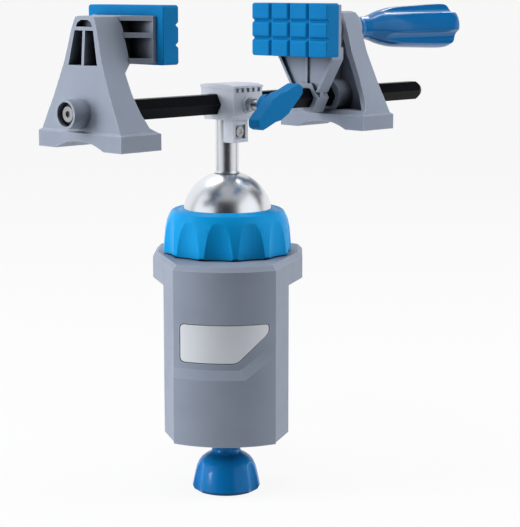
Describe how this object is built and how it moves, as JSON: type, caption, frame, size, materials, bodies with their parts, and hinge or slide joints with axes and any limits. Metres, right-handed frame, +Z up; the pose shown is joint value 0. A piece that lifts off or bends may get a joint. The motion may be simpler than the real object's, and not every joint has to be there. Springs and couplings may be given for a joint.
{
  "type": "bench vise",
  "caption": "Clamp-on bench vise with a lockable ball joint: padded jaws on a hex bar swivel and tilt above a screw clamp that grips a bench edge.",
  "frame": {"origin": "centre of the rubber seat that rests on the bench top", "axes": "+Z up from the bench top, +Y from the bench edge into the bench, -Y the front of the base with its name plate, +X to the right of someone facing the front"},
  "size_m": [0.2809, 0.2951, 0.3138],
  "materials": {
    "housing_grey": "fine texture",
    "signal_blue": "satin",
    "deep_blue": "gloss",
    "turned_aluminium": "polished",
    "cast_aluminium": "satin",
    "plated_steel": "satin",
    "black_steel": "satin",
    "pad_rubber": "matt",
    "black_nylon": "matt",
    "nut_brass": "satin",
    "plate_foil": "brushed"
  },
  "bodies": {
    "base": {"base_housing": "housing_grey", "name_plate": "plate_foil", "upper_bench_pad": "pad_rubber"},
    "clamp_drive": {"clamp_screw": "plated_steel", "clamp_knob": "deep_blue", "knob_cap": "deep_blue", "thrust_washer": "plated_steel", "screw_clip": "plated_steel"},
    "lower_clamp": {"lower_jaw": "housing_grey", "lower_bench_pad": "pad_rubber", "jaw_nut": "plated_steel"},
    "ring_rider": {"slip_ring": "black_nylon"},
    "ring": {"ring_nut": "signal_blue"},
    "cup": {"ball_cup": "black_nylon"},
    "ball_body": {"ball": "turned_aluminium"},
    "head": {"stem": "turned_aluminium", "clamp_head": "cast_aluminium", "lug_bolt": "plated_steel"},
    "shoe": {"brake_shoe": "nut_brass"},
    "wing": {"wing_screw": "plated_steel", "wing_knob": "signal_blue", "wing_nut": "plated_steel"},
    "bar": {"hex_bar": "black_steel", "fixed_jaw": "housing_grey", "fixed_jaw_bolt": "plated_steel", "bolt_washer": "plated_steel", "fixed_jaw_pad": "signal_blue"},
    "moving_frame": {"moving_jaw": "housing_grey"},
    "carrier": {"pad_carrier": "housing_grey", "moving_jaw_pad": "signal_blue", "carrier_nut": "nut_brass"},
    "driver": {"spindle": "plated_steel", "handle": "deep_blue", "handle_plug": "black_nylon", "spindle_washer": "plated_steel", "spindle_clip": "plated_steel"}
  },
  "joints": [
    {"name": "clamp_turn", "type": "hinge", "parent": "base", "child": "clamp_drive", "pos_m": [0, -0.054, 0], "axis": [0, 0, 1], "range_deg": [-3340, 6310]},
    {"name": "clamp_lift", "type": "slide", "parent": "base", "child": "lower_clamp", "axis": [0, 0, 1], "range_m": [-0.0185, 0.035]},
    {"name": "ring_lift", "type": "slide", "parent": "base", "child": "ring_rider", "axis": [0, 0, 1], "range_m": [-0.00002, 0.00152]},
    {"name": "ring_turn", "type": "hinge", "parent": "ring_rider", "child": "ring", "pos_m": [0, -0.018, 0.0423], "axis": [0, 0, 1], "range_deg": [0, 180]},
    {"name": "ball_swivel", "type": "hinge", "parent": "base", "child": "cup", "pos_m": [0, -0.018, 0.0423], "axis": [0, 0, 1], "continuous": true},
    {"name": "ball_tilt", "type": "hinge", "parent": "cup", "child": "ball_body", "pos_m": [0, -0.018, 0.0423], "axis": [0.6833, 0.7302, 0], "range_deg": [-50, 50]},
    {"name": "stem_spin", "type": "hinge", "parent": "ball_body", "child": "head", "pos_m": [0, -0.018, 0.0423], "axis": [0, 0, 1], "continuous": true},
    {"name": "shoe_feed", "type": "slide", "parent": "head", "child": "shoe", "axis": [0.7302, -0.6833, 0], "range_m": [0, 0.0015]},
    {"name": "wing_turn", "type": "hinge", "parent": "shoe", "child": "wing", "pos_m": [0, -0.018, 0.1163], "axis": [0.7302, -0.6833, 0], "range_deg": [-2, 545]},
    {"name": "bar_slide", "type": "slide", "parent": "head", "child": "bar", "axis": [-0.6833, -0.7302, 0], "range_m": [-0.065, 0.05]},
    {"name": "jaw_slide", "type": "slide", "parent": "bar", "child": "moving_frame", "axis": [0.6833, 0.7302, 0], "range_m": [-0.045, 0.065]},
    {"name": "driver_turn", "type": "hinge", "parent": "moving_frame", "child": "driver", "pos_m": [0, -0.018, 0.1627], "axis": [-0.6833, -0.7302, 0], "range_deg": [-5, 3610]},
    {"name": "carrier_feed", "type": "slide", "parent": "moving_frame", "child": "carrier", "axis": [-0.6833, -0.7302, 0], "range_m": [0, 0.025]}
  ],
  "couplings": [
    {"joint": "clamp_turn", "follows": "clamp_lift", "rad_per_m": 3141.6},
    {"joint": "ring_lift", "follows": "ring_turn", "m_per_rad": 0.00047746},
    {"joint": "wing_turn", "follows": "shoe_feed", "rad_per_m": 6283.2},
    {"joint": "driver_turn", "follows": "carrier_feed", "rad_per_m": 2513.3}
  ]
}
